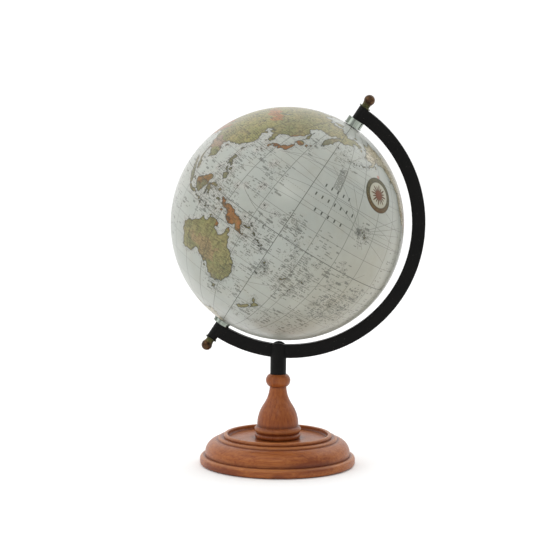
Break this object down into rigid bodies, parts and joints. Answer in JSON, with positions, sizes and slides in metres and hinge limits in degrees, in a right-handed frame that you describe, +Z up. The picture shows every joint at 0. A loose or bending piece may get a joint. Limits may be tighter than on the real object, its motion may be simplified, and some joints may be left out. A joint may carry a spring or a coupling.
{
  "type": "desktop globe",
  "caption": "Desktop globe: a printed ball that spins on a tilted axle held by a black metal arc, on a forked post, turned wooden pillar and dished round base.",
  "frame": {"origin": "centre of the felt under the base, on the surface the globe stands on", "axes": "+Z up along the pillar; +X towards the side the arc bulges to; the arc and the axle lie in the XZ plane; the ball is seen from -Y in the usual front view"},
  "size_m": [0.2214, 0.203, 0.325],
  "materials": {
    "felt": "matte",
    "turned_wood": "satin",
    "zinc_steel": "satin",
    "black_paint": "satin",
    "axle_steel": "satin",
    "polished_collar": "polished",
    "antique_brass": "satin",
    "shell_plastic": "matte",
    "ring_plastic": "matte",
    "bushing_plastic": "matte",
    "printed_paper": "gloss"
  },
  "bodies": {
    "stand": {"felt_pad": "felt", "base_disc": "turned_wood", "tie_washer": "zinc_steel", "tie_nut": "zinc_steel", "tie_rod": "zinc_steel", "pillar": "turned_wood", "fork_post": "black_paint", "meridian_arc": "black_paint", "axle_rod": "axle_steel", "upper_collar": "polished_collar", "lower_collar": "polished_collar", "upper_knob_washer": "antique_brass", "lower_knob_washer": "antique_brass", "upper_knob": "antique_brass", "lower_knob": "antique_brass"},
    "globe": {"north_shell": "shell_plastic", "south_shell": "shell_plastic", "join_ring": "ring_plastic", "north_bushing": "bushing_plastic", "south_bushing": "bushing_plastic", "north_polar_paper": "printed_paper", "south_polar_paper": "printed_paper", "gore_01": "printed_paper", "gore_02": "printed_paper", "gore_03": "printed_paper", "gore_04": "printed_paper", "gore_05": "printed_paper", "gore_06": "printed_paper", "gore_07": "printed_paper", "gore_08": "printed_paper", "gore_09": "printed_paper", "gore_10": "printed_paper", "gore_11": "printed_paper", "gore_12": "printed_paper"}
  },
  "joints": [
    {"name": "globe_spin", "type": "hinge", "parent": "stand", "child": "globe", "pos_m": [0.0069, 0, 0.21244], "axis": [0.5446, 0, 0.8387], "continuous": true}
  ]
}
